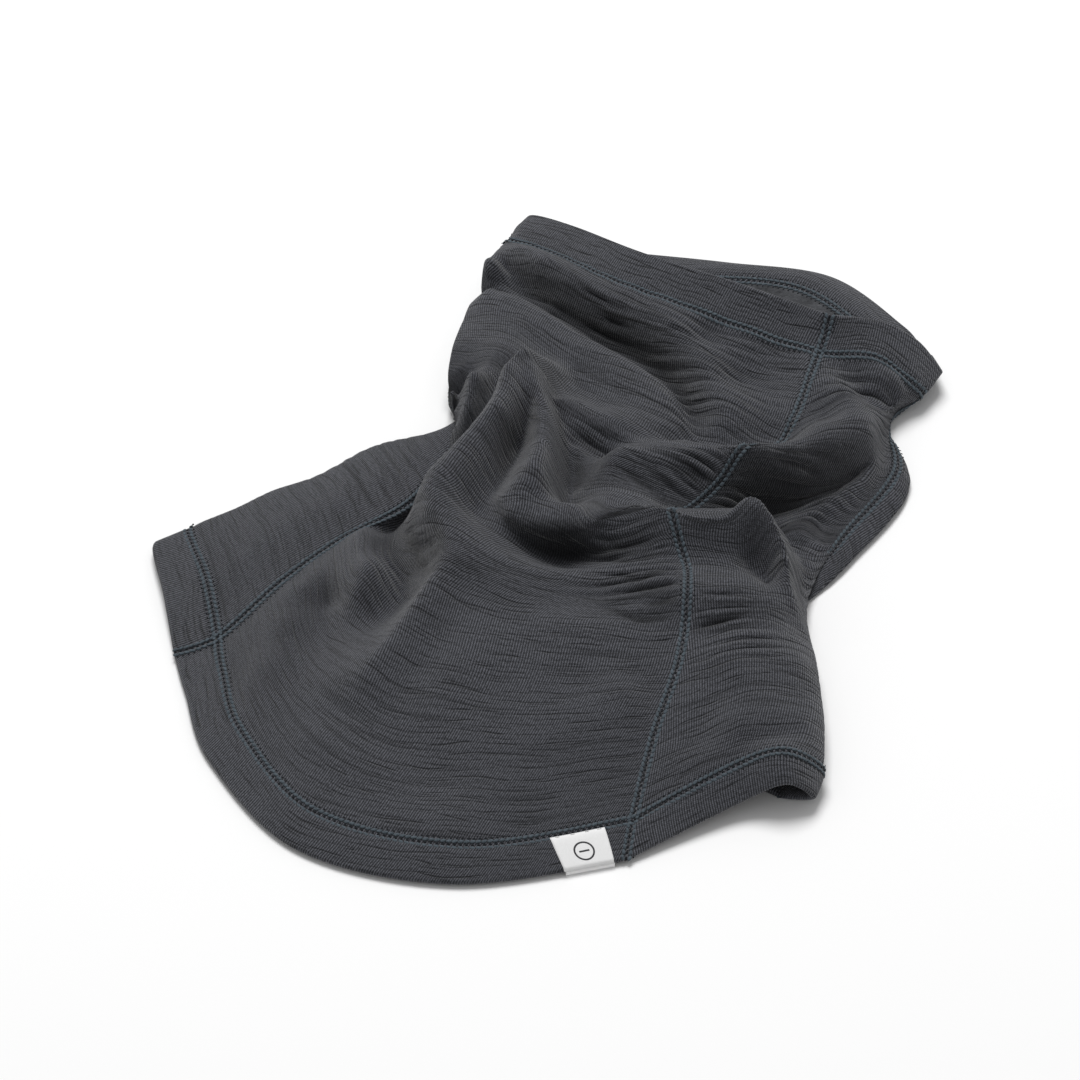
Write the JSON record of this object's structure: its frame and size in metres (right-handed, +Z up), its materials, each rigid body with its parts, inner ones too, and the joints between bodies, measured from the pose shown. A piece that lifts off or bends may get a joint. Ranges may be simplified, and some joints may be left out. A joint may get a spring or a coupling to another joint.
{
  "type": "balaclava",
  "caption": "Knitted wool balaclava tube, open at both ends, lying loosely crumpled with a flared bib, turned hems, flat seams and a small hem label.",
  "frame": {"origin": "centre of the box round the lying garment, at the height of the surface it lies on", "axes": "+Y along the garment from the bottom hem to the top hem, +X across it to the right as seen from the bottom hem, +Z up"},
  "size_m": [0.3462, 0.4551, 0.0663],
  "materials": {
    "knit": "charcoal grey double knit",
    "thread": "slate blue sewing thread",
    "label_tape": "white woven tape",
    "label_print": "black print"
  },
  "bodies": {
    "root": {"front_panel": "knit", "right_side_panel": "knit", "back_panel": "knit", "left_side_panel": "knit", "front_right_seam": "thread", "front_left_seam": "thread", "back_right_seam": "thread", "back_left_seam": "thread", "top_hem_stitch": "thread", "bottom_hem_stitch": "thread", "hem_label": "label_tape", "label_mark": "label_print", "label_stitches": "label_tape"}
  },
  "joints": []
}
